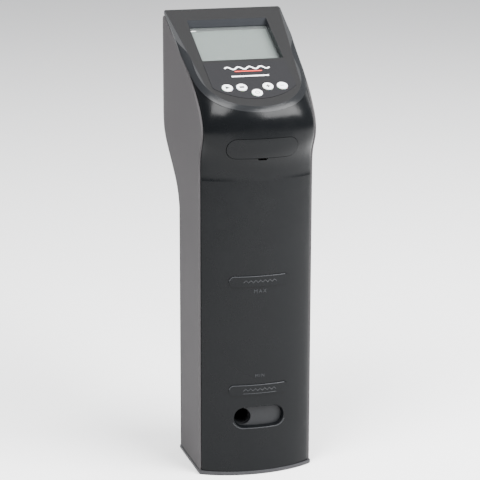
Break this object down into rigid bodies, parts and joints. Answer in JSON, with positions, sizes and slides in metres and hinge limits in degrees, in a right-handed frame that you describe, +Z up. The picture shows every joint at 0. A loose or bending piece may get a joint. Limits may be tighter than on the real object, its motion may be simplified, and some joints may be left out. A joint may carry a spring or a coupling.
{
  "type": "sous vide circulator",
  "caption": "Immersion circulator for a cooking tank: slim wet column with outlet port and level marks under an overhanging head with sloping display, round keys and a rear screw clamp.",
  "frame": {"origin": "centre of the base plate's resting face", "axes": "+Z up, -Y towards the front where the outlet port and display face, +X to the right seen from the front"},
  "size_m": [0.098, 0.187, 0.359],
  "materials": {
    "shell_black": "satin moulded plastic",
    "side_grey": "fine-grained satin grey paint on sheet steel",
    "panel_matte": "fine matte texture",
    "key_white": "smooth white cap with a dark icon",
    "window_clear": "clear",
    "lcd_grey": "grey-green display glass",
    "board_green": "solder mask",
    "cover_black": "textured moulded plastic",
    "stainless": "brushed",
    "heater_sheath": "drawn tube, slightly heat-tinted",
    "clamp_steel": "brushed, folded plate",
    "screw_steel": "turned",
    "rubber_black": "matte rubber",
    "pump_plastic": "moulded engineering plastic",
    "brass_parts": "turned",
    "motor_metal": "cast and machined",
    "lamination": "stacked laminations"
  },
  "bodies": {
    "housing": {"front_shell": "shell_black", "front_plug": "shell_black", "side_panel_left": "side_grey", "side_panel_right": "side_grey", "control_panel": "panel_matte", "keypad_overlay": "panel_matte", "lcd_window": "window_clear", "lcd_module": "lcd_grey", "control_board": "board_green", "keypad_board": "board_green", "power_board": "board_green", "rear_cover": "cover_black", "base_plate": "cover_black", "power_inlet": "cover_black", "switch_body": "cover_black", "rear_guard": "stainless", "deck_plate": "stainless", "tie_rods": "stainless", "pump_struts": "stainless", "temperature_probe": "stainless", "float_stem": "stainless", "heater_flange": "stainless", "motor_bracket": "stainless", "standoffs": "stainless", "heater_coil": "heater_sheath", "clamp_bracket": "clamp_steel", "base_screws": "screw_steel", "cover_screws": "screw_steel", "bracket_screws": "screw_steel", "motor_screws": "screw_steel", "deck_gasket": "rubber_black", "jaw_liner": "rubber_black", "pump_housing": "pump_plastic", "pump_cover": "pump_plastic", "shutter_rails": "pump_plastic", "clamp_bush": "brass_parts", "shaft_bushes": "brass_parts", "inlet_pins": "brass_parts", "motor_housing": "motor_metal", "heat_sink": "motor_metal", "motor_bearings": "motor_metal", "motor_stator": "lamination", "transformer": "lamination"},
    "start_key": {"start_key": "key_white"},
    "menu_key": {"menu_key": "key_white"},
    "power_key": {"power_key": "key_white"},
    "up_key": {"up_key": "key_white"},
    "down_key": {"down_key": "key_white"},
    "pump_rotor": {"motor_rotor": "stainless", "pump_shaft": "stainless", "shaft_coupling": "brass_parts", "impeller": "pump_plastic", "cooling_fan": "pump_plastic"},
    "float": {"level_float": "pump_plastic"},
    "shutter": {"flow_shutter": "pump_plastic"},
    "rocker": {"switch_rocker": "cover_black"},
    "pad": {"clamp_pad": "clamp_steel", "pad_liner": "rubber_black"},
    "screw": {"clamp_screw": "stainless", "clamp_knob": "cover_black"}
  },
  "joints": [
    {"name": "start_key_press", "type": "slide", "parent": "housing", "child": "start_key", "axis": [0, 0.4602, -0.8878], "range_m": [0, 0.0004], "stiffness_N_per_m": 500, "springref_m": -0.001},
    {"name": "menu_key_press", "type": "slide", "parent": "housing", "child": "menu_key", "axis": [0, 0.4602, -0.8878], "range_m": [0, 0.0004], "stiffness_N_per_m": 500, "springref_m": -0.001},
    {"name": "power_key_press", "type": "slide", "parent": "housing", "child": "power_key", "axis": [0, 0.4602, -0.8878], "range_m": [0, 0.0004], "stiffness_N_per_m": 500, "springref_m": -0.001},
    {"name": "up_key_press", "type": "slide", "parent": "housing", "child": "up_key", "axis": [0, 0.4602, -0.8878], "range_m": [0, 0.0004], "stiffness_N_per_m": 500, "springref_m": -0.001},
    {"name": "down_key_press", "type": "slide", "parent": "housing", "child": "down_key", "axis": [0, 0.4602, -0.8878], "range_m": [0, 0.0004], "stiffness_N_per_m": 500, "springref_m": -0.001},
    {"name": "pump_spin", "type": "hinge", "parent": "housing", "child": "pump_rotor", "pos_m": [0, 0, 0.226], "axis": [0, 0, 1], "continuous": true},
    {"name": "float_rise", "type": "slide", "parent": "housing", "child": "float", "axis": [0, 0, 1], "range_m": [0, 0.006]},
    {"name": "flow_adjust", "type": "hinge", "parent": "housing", "child": "shutter", "pos_m": [0, 0.05452, 0.0482], "axis": [0, 0, 1], "range_deg": [0, 7.5]},
    {"name": "power_switch", "type": "hinge", "parent": "housing", "child": "rocker", "pos_m": [0.021, 0.0764, 0.303], "axis": [1, 0, 0], "range_deg": [0, 16]},
    {"name": "pad_slide", "type": "slide", "parent": "housing", "child": "pad", "axis": [0, 1, 0], "range_m": [-0.0138, 0.015]},
    {"name": "knob_turn", "type": "hinge", "parent": "pad", "child": "screw", "pos_m": [0, 0.1305, 0.175], "axis": [0, 1, 0], "range_deg": [-2485, 2701]}
  ],
  "couplings": [
    {"joint": "knob_turn", "follows": "pad_slide", "rad_per_m": 3141.6}
  ]
}
